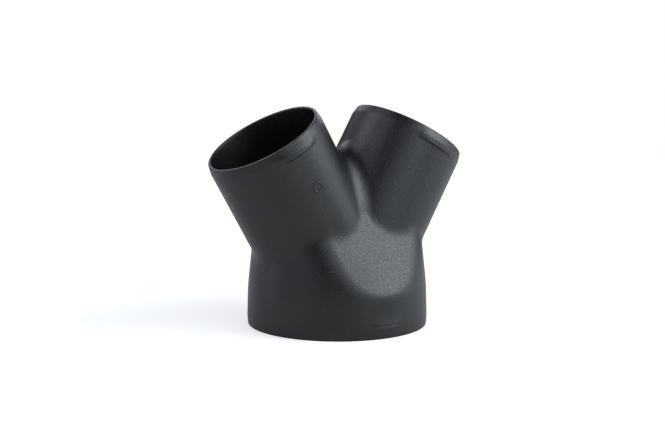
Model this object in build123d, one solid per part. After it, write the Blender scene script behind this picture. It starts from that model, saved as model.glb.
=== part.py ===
from build123d import *
import os
from math import cos, radians, sin, tan

# Y branch fitting: a wide base collar that splits into two slanted collars.
# One hollow moulding. Millimetres, +Z up, origin on the floor at the centre of the base collar.
# The two slanted collars lean towards -X and +X. The flat faces look towards -Y and +Y.

# Wall of the whole moulding
wall = 2.25

# Base collar, with its diameter taken at the gauge height
base_diameter = 90.0
base_gauge_height = 12.0
base_draft = 1.5
base_lead_length = 4.3
base_lead_depth = 0.4

# Slanted collars, measured along their axes from where the axes cross
collar_diameter = 59.6
collar_tilt = 30.0
crossing_height = 20.0
collar_reach = 85.9
mouth_lead_length = 4.0
mouth_lead_depth = 0.9
lip_chamfer = 0.3

# Hub between the collars
flare_lean = 5.0
flare_foot_height = 18.5
facet_foot_height = 20.5
facet_lean = 29.0
facet_edge_radius = 6.5
crotch_radius = 8.5
crease_radius = 8.0

# Retaining nibs, on the front and the back of every collar
nib_height = 0.6
nib_setback = 7.0
nib_half_span = 22.5
base_nib_height = 0.5
base_nib_setback = 6.8
base_nib_half_span = 11.5

# How close two places count as the same
closeness = 0.01

tilt = radians(collar_tilt)
lean = radians(facet_lean)
base_radius = base_diameter / 2
base_bore_radius = base_radius - wall
collar_radius = collar_diameter / 2
collar_bore_radius = collar_radius - wall
both_sides = (-1, 1)

# Cutting solids run this far past what they cut, and joined ones this far in.
overrun = wall


def wall_radius(height):
    """Outside radius of the drafted base wall at a height."""
    return base_radius - tan(radians(base_draft)) * (height - base_gauge_height)


# The facets run in from the base wall until they reach the front line of the collars.
facet_foot_reach = wall_radius(facet_foot_height)
facet_top_height = facet_foot_height + (facet_foot_reach - collar_radius) / tan(lean)
hub_top_height = facet_top_height + collar_radius / 2

# Each flare is a cone about its collar. Its outermost line leaves the base wall at the flare's foot,
# leans in by the flare's lean, and ends where the cone has narrowed to the collar.
flare_half_angle = tilt + radians(flare_lean)
flare_foot_out = wall_radius(flare_foot_height)
flare_foot_up = flare_foot_height - crossing_height
flare_foot_along = flare_foot_out * sin(tilt) + flare_foot_up * cos(tilt)
flare_foot_radius = flare_foot_out * cos(tilt) - flare_foot_up * sin(tilt)
flare_reach = flare_foot_along + (flare_foot_radius - collar_radius) / tan(flare_half_angle)


def facet_reach(height, inset):
    """Half the depth of the hub between its two facets at a height."""
    return facet_foot_reach - tan(lean) * (height - facet_foot_height) - inset / cos(lean)


def flare_radius(along, inset):
    """Radius of the flare at a distance along its collar's axis."""
    return collar_radius + tan(flare_half_angle) * (flare_reach - along) - inset / cos(flare_half_angle)


def collar_frame(side):
    """Frame of one slanted collar: origin where the axes cross, Z along the collar, X towards +Y."""
    return Plane(origin=(0, 0, crossing_height), x_dir=(0, 1, 0), z_dir=(side * sin(tilt), 0, cos(tilt)))


def turned(points):
    """Solid of revolution about Z from an outline of (radius, height) points."""
    return revolve(make_face(Plane.XZ * Polyline(*points, close=True)), Axis.Z)


def facet_prism(inset):
    """Wedge between the front and the back facet, long enough for the whole hub."""
    low = -2 * overrun
    high = hub_top_height + overrun
    low_reach = facet_reach(low, inset)
    high_reach = facet_reach(high, inset)
    corners = [(-low_reach, low), (low_reach, low), (high_reach, high), (-high_reach, high)]
    return extrude(make_face(Plane.YZ * Polyline(*corners, close=True)), base_diameter, both=True)


def flare_limit(side, inset):
    """All that lies within one flare's cone, or so far inward that the cone doesn't trim it."""
    low = crossing_height - base_diameter
    high = flare_reach + overrun
    outline = [(0, low), (flare_radius(low, inset), low), (flare_radius(high, inset), high), (0, high)]
    block = Box(2 * base_diameter, 4 * base_diameter, 4 * base_diameter)
    inward = Pos(side * (collar_radius / 2 - base_diameter), 0, 0) * block
    return collar_frame(side) * turned(outline) + inward


def outside_collars(point, radius):
    """Whether a point lies clear of both slanted collars of this radius."""
    for side in both_sides:
        local = collar_frame(side).to_local_coords(point)
        if (local.X ** 2 + local.Y ** 2) ** 0.5 < radius:
            return False
    return True


def hub(base_body, radius, inset):
    """The base wall trimmed by the two flares and the two facets, with its edges rounded."""
    body = base_body & facet_prism(inset)
    for side in both_sides:
        body = body & flare_limit(side, inset)
    edges = [
        edge for edge in body.edges()
        if edge.geom_type != GeomType.LINE
        and base_lead_length + closeness < (edge @ 0.5).Z < facet_top_height
        and outside_collars(edge @ 0.5, radius)
    ]
    return fillet(edges, facet_edge_radius - inset)


def fork(collars, inset):
    """The upper part of the two collars, with the valley between them rounded out."""
    foot = (facet_foot_height + facet_top_height) / 2
    upper = (collars[0] + collars[1]).split(Plane.XY.offset(foot), Keep.TOP)
    seam = [
        edge for edge in upper.edges()
        if abs((edge @ 0.5).X) < closeness
        and (edge @ 0.5).Z > foot + closeness
    ]
    return fillet(seam, crotch_radius + inset)


def y_form(base_body, collar, radius, inset):
    """Solid Y: the outside with no inset, or the hollow when inset by the wall."""
    collars = [collar_frame(side) * collar for side in both_sides]
    form = hub(base_body, radius, inset) + collars[0] + collars[1] + fork(collars, inset)
    crease = [
        edge for edge in form.edges().filter_by(GeomType.CIRCLE)
        if abs(edge.radius - radius) < closeness
        and not edge.is_closed
    ]
    return fillet(crease, crease_radius + inset)


def nibs(radius, height, half_span, setback, lead_depth):
    """Ramps about off-centre axes, so that each leaves the collar as a crescent with a square step."""
    proud = radius + height
    shift = (proud ** 2 - radius ** 2) / (2 * (proud - radius * cos(radians(half_span))))
    start = radius - lead_depth - height / 2
    ramp = turned([(0, 0), (start - shift, 0), (proud - shift, setback), (0, setback)])
    return [Pos(side * shift, 0, 0) * ramp for side in both_sides]


def outside_form():
    """The outside skin as a full solid, with the nibs on its three collars."""
    base = turned([
        (0, 0),
        (wall_radius(0) - base_lead_depth, 0),
        (wall_radius(base_lead_length), base_lead_length),
        (wall_radius(hub_top_height), hub_top_height),
        (0, hub_top_height),
    ])
    collar = turned([
        (0, 0),
        (collar_radius, 0),
        (collar_radius, collar_reach - mouth_lead_length),
        (collar_radius - mouth_lead_depth, collar_reach),
        (0, collar_reach),
    ])
    form = y_form(base, collar, collar_radius, 0)
    step_radius = wall_radius(base_nib_setback)
    base_frame = Plane(origin=(0, 0, 0), x_dir=(0, 1, 0), z_dir=(0, 0, 1))
    for ramp in nibs(step_radius, base_nib_height, base_nib_half_span, base_nib_setback, base_lead_depth):
        form = form + base_frame * ramp
    for ramp in nibs(collar_radius, nib_height, nib_half_span, nib_setback, mouth_lead_depth):
        for side in both_sides:
            mouth = collar_frame(side).offset(collar_reach)
            form = form + Plane(mouth.origin, mouth.x_dir, -mouth.z_dir) * ramp
    return form


def hollow_form():
    """The air space inside, run on past the mouths. The base is bored straight up to the gauge height."""
    base = turned([
        (0, -overrun),
        (base_bore_radius, -overrun),
        (base_bore_radius, base_gauge_height),
        (wall_radius(hub_top_height) - wall, hub_top_height),
        (0, hub_top_height),
    ])
    collar = turned([
        (0, 0),
        (collar_bore_radius, 0),
        (collar_bore_radius, collar_reach + overrun),
        (0, collar_reach + overrun),
    ])
    return y_form(base, collar, collar_bore_radius, wall)


def y_branch_body():
    """The moulded fitting: the outside less the hollow, with the lips of the slanted collars eased."""
    body = outside_form() - hollow_form()
    crossing = Vector(0, 0, crossing_height)
    lip_radii = (collar_bore_radius, collar_radius - mouth_lead_depth)
    lips = [
        edge for edge in body.edges().filter_by(GeomType.CIRCLE)
        if min(abs(edge.radius - radius) for radius in lip_radii) < closeness
        and abs((edge.arc_center - crossing).length - collar_reach) < closeness
    ]
    return chamfer(lips, lip_chamfer)


os.makedirs("parts", exist_ok=True)
export_step(y_branch_body(), "parts/y_branch_body.step")
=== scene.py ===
# %% [markdown]
# A moulded Y branch for air ducts, dressed on its CAD frame.
#
# The real object is one hollow piece of matte black plastic. A wide round base collar parts into two
# slanted round collars, and a soft hub with a flat facet in front and behind blends the three together.
# This file makes its visible skin with numpy, gives it a grained finish, and sets it on a pale floor.

import bpy
import numpy as np
from mathutils import Matrix, Vector


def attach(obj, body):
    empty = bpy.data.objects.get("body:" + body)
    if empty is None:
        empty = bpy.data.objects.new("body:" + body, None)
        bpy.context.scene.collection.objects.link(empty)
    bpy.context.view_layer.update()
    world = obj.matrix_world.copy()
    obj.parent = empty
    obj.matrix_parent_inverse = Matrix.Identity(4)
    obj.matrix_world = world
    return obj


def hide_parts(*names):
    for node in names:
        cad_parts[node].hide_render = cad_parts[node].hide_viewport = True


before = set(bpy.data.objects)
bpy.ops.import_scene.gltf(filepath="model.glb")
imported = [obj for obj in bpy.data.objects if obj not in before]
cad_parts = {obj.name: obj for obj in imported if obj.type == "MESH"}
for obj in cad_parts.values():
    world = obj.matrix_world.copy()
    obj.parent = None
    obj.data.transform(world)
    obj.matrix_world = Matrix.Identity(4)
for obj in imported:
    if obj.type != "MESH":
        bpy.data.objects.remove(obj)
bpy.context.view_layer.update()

# %% [markdown]
# The sizes come first, in millimetres, with +Z up and the origin on the floor under the base. The wall and
# the collars are those of the CAD part. The hub's flares and facets differ from it by a few degrees, which
# fits the photograph better. The slanted collars are measured along their own axes, from the point inside
# the hub where the two axes cross. The CAD part's mesh is loose triangles with hard edges, and a skin
# worked out from formulas shades as softly as the moulding does.

# %% Sizes of the moulding
wall = 2.25
base_radius = 45.0
gauge_height = 12.0
base_draft = np.radians(1.5)
collar_radius = 29.8
collar_tilt = np.radians(30.0)
crossing = np.array([0.0, 0.0, 20.0])
collar_reach = 85.9
flare_tilt = np.radians(7.0)
flare_lean = np.radians(5.0)
cap_growth = 5.0
flare_foot_height = 18.5
facet_foot_height = 20.0
facet_lean = np.radians(28.1)
facet_crown = 2.5
crown_fade = 0.084
crown_half_width = 24.0
print("Collars of", 2 * base_radius, "and twice", 2 * collar_radius, "mm across, wall", wall, "mm")

# %% [markdown]
# The hub has no simple outline, so it isn't lathed or swept. Instead, each plain form in it gets a gap
# function: how far a point lies outside that form, and which way is out. The drafted base wall is a steep
# cone, and each collar is a cylinder. The flare at each side is a cone about an axis that leans a little,
# and a wider cone about the collar caps the hub, so that nothing rises into the valley. The facets are two
# leaning planes, slightly crowned from side to side. Every function takes a whole array of points at once.
# An inset moves the form inwards, and with the wall as the inset the same functions give the hollow inside.

# %% Gaps to the plain forms
least_radius = 1e-9


def wall_radius(height):
    """Radius of the base wall: the gauge radius, less the draft's slope times the height above the gauge."""
    return base_radius - np.tan(base_draft) * (height - gauge_height)


def wall_gap(points, inset):
    """Distance from the axis less the wall's radius, times the cosine of the draft."""
    radius = np.maximum(np.hypot(points[..., 0], points[..., 1]), least_radius)
    outward = np.cos(base_draft) * points / radius[..., None]
    outward[..., 2] = np.sin(base_draft)
    return (radius - wall_radius(points[..., 2])) * np.cos(base_draft) + inset, outward


def about_axis(points, tilt):
    """Distance along a slanted axis, distance from it, the way out from it, and the axis itself."""
    axis = np.array([np.sin(tilt), 0.0, np.cos(tilt)])
    offset = points - crossing
    along = offset @ axis
    across = offset - along[..., None] * axis
    radius = np.maximum(np.linalg.norm(across, axis=-1), least_radius)
    return along, radius, across / radius[..., None], axis


def collar_gap(points, side, inset):
    """Distance from the slanted axis less the collar's radius."""
    _, radius, outward, _ = about_axis(points, side * collar_tilt)
    return radius - collar_radius + inset, outward


def facet_gap(points, inset):
    """Depth from the middle less the facet's reach there, over the length of the way out.

    The reach falls with the height, by the tangent of the lean, and with the square of the distance to the
    side, times a crown that fades as the facet rises.
    """
    side = points[..., 0] / crown_half_width
    rise = points[..., 2] - facet_foot_height
    crown = np.clip(facet_crown - crown_fade * rise, 0.0, facet_crown)
    reach = wall_radius(facet_foot_height) - np.tan(facet_lean) * rise - crown * side ** 2
    out_sideways = 2 * crown / crown_half_width * side
    out_forwards = np.where(points[..., 1] < 0, -1.0, 1.0)
    out_upwards = np.tan(facet_lean) - crown_fade * side ** 2
    outward = np.stack([out_sideways, out_forwards, out_upwards], axis=-1)
    length = np.linalg.norm(outward, axis=-1)
    return (np.abs(points[..., 1]) - reach) / length + inset, outward / length[..., None]


def cone_gap(points, tilt, growth, inset):
    """Distance from a slanted axis less the cone's radius there, times the cosine of the half angle.

    The cone's outermost line leaves the base wall at the flare's foot, moved out by the growth. It leans in.
    """
    foot_out = wall_radius(flare_foot_height) + growth
    foot_up = flare_foot_height - crossing[2]
    foot_along = foot_out * np.sin(tilt) + foot_up * np.cos(tilt)
    foot_radius = foot_out * np.cos(tilt) - foot_up * np.sin(tilt)
    half_angle = tilt + flare_lean
    along, radius, outward, axis = about_axis(points, tilt)
    cone = foot_radius - np.tan(half_angle) * (along - foot_along)
    outward = np.cos(half_angle) * outward + np.sin(half_angle) * axis
    return (radius - cone) * np.cos(half_angle) + inset, outward


foot_radius = round(wall_radius(flare_foot_height), 2)
print("The flares leave the base wall", flare_foot_height, "mm up, where its radius is", foot_radius, "mm")

# %% [markdown]
# Moulded plastic has no sharp creases. A mould maker rounds an outer edge as if a ball had rolled along
# inside it, and fills an inner corner as if a ball had rolled along outside. Both are one formula. The
# ball's centre lies one roll deep under both surfaces, so the gap near the edge is the distance to that
# centre less the roll. Swapping inside and outside turns the rounded edge into a filled valley.
# A Bevel modifier could round such edges too, but not where four of them meet at the crotch.

# %% Rounded edges and filled valleys
least_square = 1e-12
cosine_limit = 0.9999


def rolled_edge(one, other, roll):
    """Within the rounding, the length of the step from the ball's centre less the roll, else the larger gap.

    The step is a sum of the two ways out, with the shares that make it one gap plus one roll long on each.
    """
    (a, a_out), (b, b_out) = one, other
    p = a + roll
    q = b + roll
    c = np.clip(np.sum(a_out * b_out, axis=-1), -cosine_limit, cosine_limit)
    a_share = (p - q * c) / (1 - c * c)
    b_share = (q - p * c) / (1 - c * c)
    step = np.sqrt(np.maximum(a_share * p + b_share * q, least_square))
    step_out = (a_share[..., None] * a_out + b_share[..., None] * b_out) / step[..., None]
    rolling = (a_share > 0) & (b_share > 0)
    gap = np.where(rolling, step - roll, np.maximum(a, b))
    plain_out = np.where((a > b)[..., None], a_out, b_out)
    return gap, np.where(rolling[..., None], step_out, plain_out)


def filled_valley(one, other, roll):
    """The rolled edge of the two forms turned inside out, turned back again."""
    gap, outward = rolled_edge((-one[0], -one[1]), (-other[0], -other[1]), roll)
    return -gap, -outward


top_face = (np.array(-2.0), np.array([0.0, 0.0, 1.0]))
side_face = (np.array(-2.0), np.array([1.0, 0.0, 0.0]))
corner_gap = float(rolled_edge(top_face, side_face, 4.0)[0])
print("A point 2 mm under two square faces lies", round(-corner_gap, 2), "mm under their 4 mm rounding")

# %% [markdown]
# The rolls differ from edge to edge, as on the real object. The edge round each facet is tightest in the
# middle and grows softer to the sides. The foot of the flare bends by more or less on its way round, and is
# rounded over the same width everywhere. The crease under each collar widens towards the front and back.
# With these, one function answers for the whole moulding, and a net can be laid on it.

# %% Gap to the whole moulding
flare_foot_width = 4.5
bend_limits = (-0.9, 0.999)
cap_roll = 8.0
facet_foot_roll = 10.0
facet_side_roll = 23.0
facet_roll_span = (4.0, 24.0)
crotch_roll = 8.5
waist_roll = 10.0
crease_growth = 5.0
crease_side_span = (6.0, 18.0)
crease_front_span = (12.0, 28.0)


def flare_foot_roll(one, other):
    """The roll that keeps the rounding to one width: that width over the tangent of half the bend."""
    c = np.clip(np.sum(one[1] * other[1], axis=-1), *bend_limits)
    return flare_foot_width / np.sqrt((1 - c) / (1 + c))


def eased(distance, start, stop, low, high):
    """A size that stays low up to the start, and grows smoothly to high at the stop."""
    share = np.clip((np.abs(distance) - start) / (stop - start), 0.0, 1.0)
    return low + (high - low) * share * share * (3 - 2 * share)


def moulding_gap(points, inset):
    """Wall, flare, cap and facet meet in rounded edges, the collars in a filled crotch, both in a crease."""
    base = wall_gap(points, inset)
    flare = cone_gap(points, flare_tilt, 0.0, inset)
    cap = cone_gap(points, collar_tilt, cap_growth, inset)
    hub = rolled_edge(base, flare, flare_foot_roll(base, flare) - inset)
    hub = rolled_edge(hub, cap, cap_roll - inset)
    facet_roll = eased(points[..., 0], *facet_roll_span, facet_foot_roll, facet_side_roll)
    hub = rolled_edge(hub, facet_gap(points, inset), facet_roll - inset)
    right, left = (collar_gap(points, side, inset) for side in (1, -1))
    collars = filled_valley(right, left, crotch_roll + inset)
    sideways = eased(points[..., 0], *crease_side_span, 0.0, 1.0)
    crease = waist_roll + sideways * eased(points[..., 1], *crease_front_span, 0.0, crease_growth)
    return filled_valley(hub, collars, crease + inset)


gauge_point = np.array([0.0, -base_radius, gauge_height])
gauge_gap = abs(float(moulding_gap(gauge_point, 0.0)[0]))
print("In front, at the gauge height, the skin misses the base's radius by", round(gauge_gap, 4), "mm")

# %% [markdown]
# Some lines on the skin are known beforehand. The rings round the base and round a slanted collar are plain
# circles. The front seam lies in the middle plane, from the saddle between the collars down to the base. It
# has no formula of its own, so rays go out from the heart of the hub, and each is halved again and again
# until its end lies on the skin. A boolean cut through the CAD mesh would give a far rougher line.

# %% Rings and the front seam
heart = np.array([0.0, 0.0, 40.0])
net_columns = 240
net_low = gauge_height
net_high = 70.0
seam_rays = 800
halvings = 50
column_turn = np.linspace(0.0, 2 * np.pi, net_columns, endpoint=False)
collar_axis = np.array([np.sin(collar_tilt), 0.0, np.cos(collar_tilt)])
towards_valley = np.array([-np.cos(collar_tilt), 0.0, np.sin(collar_tilt)])
towards_front = np.array([0.0, -1.0, 0.0])


def base_ring(turn, radius, height):
    """A circle round the upright axis, with turn 0 in front and a quarter turn towards +X."""
    return np.stack([radius * np.sin(turn), -radius * np.cos(turn), height + 0 * radius * turn], axis=-1)


def collar_ring(turn, radius, along):
    """A circle round the slanted axis, with turn 0 on the valley side and a quarter turn in front."""
    spoke = np.cos(turn)[..., None] * towards_valley + np.sin(turn)[..., None] * towards_front
    return crossing + along[..., None] * collar_axis + radius[..., None] * spoke


def front_seam(count, inset):
    """Rays from the heart of the hub, halved until they end on the skin, then spaced evenly by length."""
    last_turn = np.arctan2(wall_radius(net_low) - inset, net_low - heart[2])
    turn = np.linspace(0.0, last_turn, seam_rays)
    ray = np.stack([np.zeros_like(turn), -np.sin(turn), np.cos(turn)], axis=-1)
    near = np.zeros_like(turn)
    far = np.full_like(turn, 2 * base_radius)
    for _ in range(halvings):
        middle = (near + far) / 2
        outside = moulding_gap(heart + middle[:, None] * ray, inset)[0] > 0
        near = np.where(outside, near, middle)
        far = np.where(outside, middle, far)
    line = heart + near[:, None] * ray
    walked = np.append(0.0, np.cumsum(np.linalg.norm(np.diff(line, axis=0), axis=1)))
    even = np.linspace(0.0, walked[-1], count + 1)
    return np.stack([np.interp(even, walked, line[:, k]) for k in range(3)], axis=-1)


print("The saddle between the collars lies", round(float(front_seam(1, 0.0)[0, 2]), 1), "mm up")

# %% [markdown]
# Now a net is laid over one half of the hub. Its lower edge is a loop: from the saddle between the collars
# down the front seam, half way round the base, and up the back seam. Its upper edge is a ring round the
# slanted collar. Straight lines between the two make a first net. Then each knot moves to the middle of its
# four neighbours and back onto the skin, again and again, until the net lies smooth and even. This is how
# a retopology tool works, and it leaves tidy quads that a remesh of the CAD triangles wouldn't give.

# %% A net over half the hub
outer_rows = 72
inner_rows = 30
smoothing_rounds = 60
settling_rounds = 4


def onto_skin(points, inset, rounds):
    """Each round steps back along the way out, by the gap."""
    for _ in range(rounds):
        gap, outward = moulding_gap(points, inset)
        points = points - gap[..., None] * outward
    return points


def half_hub(rows, inset):
    """Straight lines from the lower loop to the collar's ring, then rounds of averaging and stepping back."""
    quarter = net_columns // 4
    front = front_seam(quarter, inset)
    half_turn = np.linspace(0.0, np.pi, 2 * quarter + 1)
    half_ring = base_ring(half_turn, wall_radius(net_low) - inset, net_low)
    front[-1] = half_ring[0]
    lower = np.concatenate([front[:-1], half_ring[:-1], front[:0:-1] * [1, -1, 1]])
    ring_radius = np.full_like(column_turn, collar_radius - inset)
    upper = collar_ring(column_turn, ring_radius, np.full_like(column_turn, net_high))
    rise = np.linspace(0.0, 1.0, rows + 1)[:, None, None]
    net = (1 - rise) * lower + rise * upper
    for _ in range(smoothing_rounds):
        sideways = np.roll(net, 1, axis=1) + np.roll(net, -1, axis=1)
        net[1:-1] = onto_skin((net[:-2] + net[2:] + sideways[1:-1]) / 4, inset, 1)
    net[1:-1] = onto_skin(net[1:-1], inset, settling_rounds)
    return net


outer_half = half_hub(outer_rows, 0.0)
inner_half = half_hub(inner_rows, wall)
furthest = float(np.abs(moulding_gap(outer_half, 0.0)[0]).max())
print("Half hub:", outer_half.shape[:2], "knots outside and", inner_half.shape[:2], "inside")
print("Furthest off the skin:", round(1000 * furthest, 2), "micrometres")

# %% [markdown]
# The ends of the collars are turned forms, so a profile carried round the axis gives them. On the real
# object, each slanted collar narrows over its last 4 mm, which leads a duct on, and its lip is eased.
# In front and behind, a low nib holds the duct: it rises from the lip and falls back in a short step. Each
# nib is a rise along the profile times a fade round the axis, so it thins out towards both ends. A Screw
# modifier turns a profile too, but it can't raise a nib at one place of the turn.

# %% End of a slanted collar
lead_length = 4.0
lead_depth = 0.9
lip_roll = 0.45
nib_height = 1.1
nib_half_span = np.radians(24.0)
step_run = 1.0
bore_radius = collar_radius - wall
step_along = collar_reach - 6.3
nib_start = collar_reach - 0.6
lip_start = collar_reach - lip_roll
lead_start = collar_reach - lead_length
lead_slope = lead_depth / lead_length


def lip_arc(radius, height, roll, start):
    """A quarter circle of four points about a centre in the profile, from the start angle in degrees."""
    angle = np.radians(start + np.linspace(0.0, 90.0, 4))
    return np.stack([radius + roll * np.cos(angle), height + roll * np.sin(angle)], axis=-1)


def carried_round(profile):
    """The radius of every profile point and its place along the axis, repeated for all columns."""
    return (np.repeat(part[:, None], net_columns, axis=1) for part in profile.T)


def with_nibs(radius, rise, rows, middles, half_span):
    """On the rows given, the radius plus the rise times a fade about each middle.

    The fade is one less the square of the turn from the middle over half the span, and nothing beyond.
    """
    for middle in middles:
        off_middle = np.abs(np.angle(np.exp(1j * (column_turn - middle)))) / half_span
        fade = np.clip(1 - off_middle ** 2, 0.0, 1.0)
        radius = np.where(rows, radius + rise * fade, radius)
    return radius


step_rows = step_along - step_run * np.array([1.2, 1.0, 0.75, 0.5, 0.25, 0.0])
plain_along = np.array([72.5, 75.0, *step_rows, 80.6, 81.2, lead_start, 82.6, 83.5, 84.6])
plain_radius = collar_radius - lead_slope * np.maximum(plain_along - lead_start, 0.0)
lip_radius = collar_radius - lead_slope * (lip_start - lead_start)
bore_along = np.array([84.0, 81.0, 77.5, 73.5])
collar_profile = np.concatenate([
    np.stack([plain_radius, plain_along], axis=-1),
    lip_arc(lip_radius - lip_roll, lip_start, lip_roll, 0.0),
    lip_arc(bore_radius + lip_roll, lip_start, lip_roll, 90.0),
    np.stack([np.full_like(bore_along, bore_radius), bore_along], axis=-1),
])
radius, along = carried_round(collar_profile)
nib_rows = np.arange(len(collar_profile))[:, None] < len(plain_along)
nib_places = [step_along - step_run, step_along, lead_start, nib_start]
nib_rise = nib_height * np.interp(along, nib_places, [0.0, 1.0, 0.8, 0.0])
radius = with_nibs(radius, nib_rise, nib_rows, (np.pi / 2, 3 * np.pi / 2), nib_half_span)
collar_end = collar_ring(np.broadcast_to(column_turn, radius.shape), radius, along)
print("Collar end of", len(collar_profile), "rings of", net_columns, "knots")

# %% [markdown]
# The base ends in the same way, with a short lead-in at its rim. It has a smaller nib in front and behind,
# with two steps one above the other. Its bore is straight, as a socket for a pipe end would be. The helpers
# of the slanted collar carry its profile round as well, about the upright axis.

# %% End of the base
base_lip = 0.25
base_lead = 4.3
base_lead_depth = 0.4
base_bore = base_radius - wall
base_foot = wall_radius(0.0) - base_lead_depth
bar_half_span = np.radians(12.3)
bar_places = [4.7, 5.3, 6.5, 7.1, 11.0]
bar_heights = [0.0, 0.45, 0.2, 0.7, 0.0]
bore_height = np.array([gauge_height, 8.0, 4.0, 1.0])
bar_rows = [4.7, 5.0, 5.3, 5.9, 6.5, 6.8, 7.1]
plain_height = np.array([1.2, 2.4, 3.4, base_lead, *bar_rows, 8.4, 10.0, gauge_height])
draft_radii = [base_foot, wall_radius(base_lead), base_radius]
draft_radius = np.interp(plain_height, [0.0, base_lead, gauge_height], draft_radii)
base_profile = np.concatenate([
    np.stack([np.full_like(bore_height, base_bore), bore_height], axis=-1),
    lip_arc(base_bore + base_lip, base_lip, base_lip, 180.0),
    lip_arc(base_foot - base_lip, base_lip, base_lip, 270.0),
    np.stack([draft_radius, plain_height], axis=-1),
])
radius, height = carried_round(base_profile)
outside_rows = np.arange(len(base_profile))[:, None] >= len(base_profile) - len(plain_height)
bar_rise = np.interp(height, bar_places, bar_heights)
radius = with_nibs(radius, bar_rise, outside_rows, (0.0, np.pi), bar_half_span)
base_end = base_ring(np.broadcast_to(column_turn, radius.shape), radius, height)
print("Base of", len(base_profile), "rings of", net_columns, "knots")

# %% [markdown]
# All of it is now joined into one closed shell. Half a moulding is a single long net: up the outside of the
# hub, along the collar, over its lip, down the bore, and back down the inside of the hub. The other half is
# its mirror image, with the columns turned round so that the faces still look outwards. The base is the
# third net. Knots that fall on the same place are merged. The edges without two faces are counted, and the
# volume is worked out; the CAD part's is 66,100 cubic mm.

# %% One closed shell
places_per_mm = 1e4


def woven(net):
    """Four-cornered faces between neighbouring knots of a net that closes round its columns."""
    knot = np.arange(net.shape[0] * net.shape[1]).reshape(net.shape[:2])
    beside = np.roll(knot, -1, axis=1)
    return np.stack([knot[:-1], beside[:-1], beside[1:], knot[1:]], axis=-1).reshape(-1, 4)


def welded(nets):
    """The knots and faces of several nets, with the knots that share a place merged into one."""
    starts = np.cumsum([0] + [net.shape[0] * net.shape[1] for net in nets])
    knots = np.concatenate([net.reshape(-1, 3) for net in nets])
    faces = np.concatenate([woven(net) + start for net, start in zip(nets, starts)])
    places = np.round(knots * places_per_mm).astype(np.int64)
    _, first, merged = np.unique(places, axis=0, return_index=True, return_inverse=True)
    return knots[first], merged.reshape(-1)[faces]


half = np.concatenate([outer_half, collar_end, inner_half[::-1]])
knots, faces = welded([half, half[:, ::-1] * [-1, 1, 1], base_end])
edges = np.sort(np.stack([faces, np.roll(faces, -1, axis=1)], axis=-1).reshape(-1, 2), axis=1)
uses = np.unique(edges, axis=0, return_counts=True)[1]
corner = knots[faces]
halves = [(corner[:, 0], corner[:, 1], corner[:, 2]), (corner[:, 0], corner[:, 2], corner[:, 3])]
volume = sum(np.sum(a * np.cross(b, c)) for a, b, c in halves) / 6
print(len(faces), "faces, edges without two faces:", int(np.sum(uses != 2)))
print("Volume in cubic mm:", round(volume))

# %% [markdown]
# The shell goes into one mesh object in metres, with its place in its vertices. Smooth shading carries the
# light over the soft forms, and edges sharper than 35 degrees, such as the steps of the nibs, stay crisp.
# It stands for the CAD node and rides on the only body.

# %% The moulding as a mesh
crisp_angle = np.radians(35.0)


def shell_object(name, knots, faces):
    """A smooth-shaded mesh object from knots in millimetres and faces."""
    mesh = bpy.data.meshes.new(name)
    mesh.from_pydata((knots / 1000).tolist(), [], faces.tolist())
    mesh.shade_smooth()
    mesh.set_sharp_from_angle(angle=crisp_angle)
    made = bpy.data.objects.new(name, mesh)
    bpy.context.scene.collection.objects.link(made)
    return made


moulding = shell_object("y_branch_moulding", knots, faces)
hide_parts("y_branch_body")
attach(moulding, "root")
print("Moulding:", len(moulding.data.vertices), "vertices,", len(moulding.data.polygons), "faces")

# %% [markdown]
# A small raised ring stands on the front of the left collar, as moulders set on their parts. It is a torus
# bent to the collar: its two parameters give a turn about the axis, a distance along it and a height over
# the wall, and its lower side is sunk into the wall so that no gap shows.

# %% Plain ring mark
mark_along = 60.9
mark_turn = np.radians(88.9)
mark_radius = 2.2
mark_bead = 0.42
mark_sink = 0.1
mark_columns = 64
bead_rows = 12


def ring_mark(columns, rows):
    """A bead carried round a circle: cosines and sines of two turns, wrapped onto the collar's cylinder."""
    round_mark = np.linspace(0.0, 2 * np.pi, columns, endpoint=False)[None, :]
    round_bead = np.linspace(0.0, 2 * np.pi, rows + 1)[:, None]
    reach = mark_radius + mark_bead * np.cos(round_bead)
    turn = mark_turn + reach * np.cos(round_mark) / collar_radius
    along = mark_along + reach * np.sin(round_mark)
    height = collar_radius - mark_sink + mark_bead * np.sin(round_bead) + 0 * turn
    return collar_ring(turn, height, along)[:, ::-1] * [-1, 1, 1]


mark = shell_object("plain_ring_mark", *welded([ring_mark(mark_columns, bead_rows)]))
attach(mark, "root")
print("Ring mark:", len(mark.data.polygons), "faces,", round(2 * (mark_radius + mark_bead), 2), "mm across")

# %% [markdown]
# The finish is near-black plastic with the fine grain of an eroded mould. The grain is far smaller than the
# wall is thick, so it is a bump and not geometry: noise on Object coordinates, which stays put on the
# moulding from any side. The plastic is matte, and catches light in a broad soft sheen. A slow, faint drift
# in tone stands for flow in the mould and for handling, and the grain also varies the gloss.

# %% Grained black plastic
dark_tone = (0.0040, 0.0045, 0.0055)
pale_tone = (0.0060, 0.0067, 0.0080)
plastic = bpy.data.materials.new("grained_black_plastic")
plastic.use_nodes = True
nodes = plastic.node_tree.nodes
links = plastic.node_tree.links
shader = nodes["Principled BSDF"]
place = nodes.new("ShaderNodeTexCoord")


def noise(scale, detail, roughness):
    """A noise texture on Object coordinates, with its scale in spots per metre."""
    texture = nodes.new("ShaderNodeTexNoise")
    texture.inputs["Scale"].default_value = scale
    texture.inputs["Detail"].default_value = detail
    texture.inputs["Roughness"].default_value = roughness
    links.new(place.outputs["Object"], texture.inputs["Vector"])
    return texture.outputs["Fac"]


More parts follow.
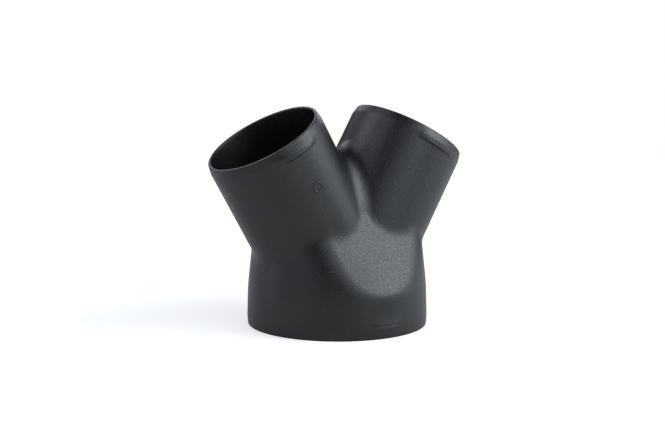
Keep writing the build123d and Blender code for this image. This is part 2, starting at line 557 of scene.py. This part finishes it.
def ramp(value, low, high, low_colour, high_colour):
    """A colour that runs from one to the other while the value goes from low to high."""
    band = nodes.new("ShaderNodeValToRGB")
    band.color_ramp.elements[0].position = low
    band.color_ramp.elements[1].position = high
    band.color_ramp.elements[0].color = (*low_colour, 1.0)
    band.color_ramp.elements[1].color = (*high_colour, 1.0)
    links.new(value, band.inputs["Fac"])
    return band.outputs["Color"]


def spread(value, low, high):
    """The value's middle range stretched over low to high."""
    stretch = nodes.new("ShaderNodeMapRange")
    stretch.inputs["From Min"].default_value = 0.3
    stretch.inputs["From Max"].default_value = 0.7
    stretch.inputs["To Min"].default_value = low
    stretch.inputs["To Max"].default_value = high
    links.new(value, stretch.inputs["Value"])
    return stretch.outputs["Result"]


grain = noise(scale=1100.0, detail=3.0, roughness=0.6)
drift = noise(scale=45.0, detail=2.0, roughness=0.5)
tone = ramp(drift, 0.35, 0.65, dark_tone, pale_tone)
links.new(tone, shader.inputs["Base Color"])
links.new(spread(grain, low=0.31, high=0.47), shader.inputs["Roughness"])
bump = nodes.new("ShaderNodeBump")
bump.inputs["Strength"].default_value = 0.5
bump.inputs["Distance"].default_value = 0.00025
links.new(grain, bump.inputs["Height"])
links.new(bump.outputs["Normal"], shader.inputs["Normal"])
shader.inputs["IOR"].default_value = 1.5
for piece in (moulding, mark):
    piece.data.materials.append(plastic)
print("Plastic with", len(nodes), "nodes on", moulding.name, "and", mark.name)

# %% [markdown]
# The object was photographed on a white table. The floor is a wide disc of paper white. It is lifted for
# the camera alone, and more so further out, as when a photographer lets the table run out to pure white.
# A stronger lamp would whiten the floor too, but the black plastic would turn grey with it.

# %% Pale floor
floor_radius = 0.95
floor_corners = 96
lift_sockets = ("From Min", "From Max", "To Min", "To Max")
lift_values = (0.1, 0.5, 0.45, 0.8)


def for_camera(tree, low, high):
    """A number that is high for what the camera sees and low for what only gives light."""
    path = tree.nodes.new("ShaderNodeLightPath")
    choice = tree.nodes.new("ShaderNodeMapRange")
    choice.inputs["To Min"].default_value = low
    choice.inputs["To Max"].default_value = high
    tree.links.new(path.outputs["Is Camera Ray"], choice.inputs["Value"])
    return choice.outputs["Result"]


floor_mesh = bpy.data.meshes.new("pale_floor")
floor_turn = np.linspace(0.0, 2 * np.pi, floor_corners, endpoint=False)
floor_edge = base_ring(floor_turn, floor_radius, 0.0)
floor_mesh.from_pydata(floor_edge.tolist(), [], [tuple(range(floor_corners))])
floor = bpy.data.objects.new("pale_floor", floor_mesh)
bpy.context.scene.collection.objects.link(floor)
paper = bpy.data.materials.new("pale_floor")
paper.use_nodes = True
floor_mesh.materials.append(paper)
paper_nodes = paper.node_tree.nodes
paper_links = paper.node_tree.links
paper_shader = paper_nodes["Principled BSDF"]
paper_shader.inputs["Base Color"].default_value = (0.85, 0.84, 0.81, 1.0)
paper_shader.inputs["Roughness"].default_value = 0.9
paper_shader.inputs["Emission Color"].default_value = (1.0, 1.0, 1.0, 1.0)
paper_place = paper_nodes.new("ShaderNodeTexCoord")
paper_reach = paper_nodes.new("ShaderNodeVectorMath")
paper_reach.operation = "LENGTH"
paper_lift = paper_nodes.new("ShaderNodeMapRange")
for socket, value in zip(lift_sockets, lift_values):
    paper_lift.inputs[socket].default_value = value
paper_share = paper_nodes.new("ShaderNodeMath")
paper_share.operation = "MULTIPLY"
paper_links.new(paper_place.outputs["Object"], paper_reach.inputs[0])
paper_links.new(paper_reach.outputs["Value"], paper_lift.inputs["Value"])
paper_links.new(paper_lift.outputs["Result"], paper_share.inputs[0])
paper_links.new(for_camera(paper.node_tree, 0.0, 1.0), paper_share.inputs[1])
paper_links.new(paper_share.outputs["Value"], paper_shader.inputs["Emission Strength"])
print("Floor", 2 * floor_radius, "m across, lifted by", lift_values[2], "to", lift_values[3])

# %% [markdown]
# The room behind is a plain white backdrop for the camera. It gives almost no light of its own, so the faces
# that look at the dark side of the room stay near black. A white world that gave light would wash out the
# soft forms, because light from all sides casts no shade.

# %% White backdrop
world_light = 0.04
world = bpy.data.worlds.new("white_backdrop")
world.use_nodes = True
backdrop = world.node_tree.nodes["Background"]
backdrop.inputs["Color"].default_value = (1.0, 1.0, 1.0, 1.0)
world.node_tree.links.new(for_camera(world.node_tree, world_light, 1.0), backdrop.inputs["Strength"])
bpy.context.scene.world = world
print("Backdrop gives", world_light, "of the light that the camera sees in it")

# %% [markdown]
# The light came from large soft lamps, and a ring of square panels stands for them. The strongest are on the
# right, where they make the sheen on the facet, and weaker ones on the left and behind lighten the outline.
# Many weak panels can follow the shading of a photograph more closely than a few strong ones.

# %% Soft panels
camera_azimuth = -32.46
panel_side = 0.44
panel_centre = Vector((0.0, 0.0, 0.06))
right_colour = (0.93, 1.0, 1.06)
left_colour = (0.95, 1.0, 1.12)


def soft_panel(azimuth, elevation, power, colour):
    """A square area lamp 1 m from the hub, at degrees right of the camera and degrees up, with its watts."""
    turn = np.radians(azimuth + camera_azimuth)
    rise = np.radians(elevation)
    toward = Vector((np.sin(turn) * np.cos(rise), -np.cos(turn) * np.cos(rise), np.sin(rise)))
    name = f"panel_{azimuth}_{elevation}"
    lamp = bpy.data.lights.new(name, "AREA")
    lamp.size = panel_side
    lamp.energy = power
    lamp.color = colour
    made = bpy.data.objects.new(name, lamp)
    bpy.context.scene.collection.objects.link(made)
    made.location = toward + panel_centre
    made.rotation_euler = toward.to_track_quat("Z", "Y").to_euler()
    return made


right_panels = [
    (15, 28, 0.6), (40, 28, 1.2), (65, 28, 1.9), (90, 28, 2.55), (115, 28, 0.65), (76, 42, 2.6),
    (45, 8, 0.75), (90, 8, 1.2), (115, 8, 0.7),
]
left_panels = [
    (160, 20, 1.0), (180, 38, 0.35), (203, 30, 0.9), (225, 38, 0.35), (270, 38, 1.75), (315, 38, 1.1),
    (270, 8, 0.8), (315, 8, 0.5), (270, 66, 0.9),
]
lamps = [soft_panel(*panel, right_colour) for panel in right_panels]
lamps += [soft_panel(*panel, left_colour) for panel in left_panels]
print(len(lamps), "soft lamps of", round(sum(lamp.data.energy for lamp in lamps), 2), "watts in all")

# %% [markdown]
# The camera's place was fitted to the outlines of the three collars in the photograph, whose diameters are
# known. It stands 640 mm away, a little above the hub, and looks from the front left.

# %% Camera
aim = np.array([-0.00274, 0.00022, 0.05105])
right = np.array([0.8438, -0.5367, 0.0])
upward = np.array([0.0763, 0.1199, 0.9898])
ahead = np.array([0.5312, 0.8352, -0.1421])
roll = np.radians(0.21)
camera_distance = 0.64
camera = bpy.data.objects.new("camera", bpy.data.cameras.new("camera"))
bpy.context.scene.collection.objects.link(camera)
camera.data.sensor_width = 36.0
camera.data.lens = 69.36
turned_right = np.cos(roll) * right + np.sin(roll) * upward
turned_up = np.cos(roll) * upward - np.sin(roll) * right
columns = np.stack([turned_right, turned_up, -ahead, aim - camera_distance * ahead], axis=1)
camera.matrix_world = Matrix([*columns.tolist(), [0.0, 0.0, 0.0, 1.0]])
bpy.context.scene.camera = camera
bpy.context.scene.view_settings.view_transform = "Standard"
print("Camera at", [round(1000 * c, 1) for c in camera.location], "mm")
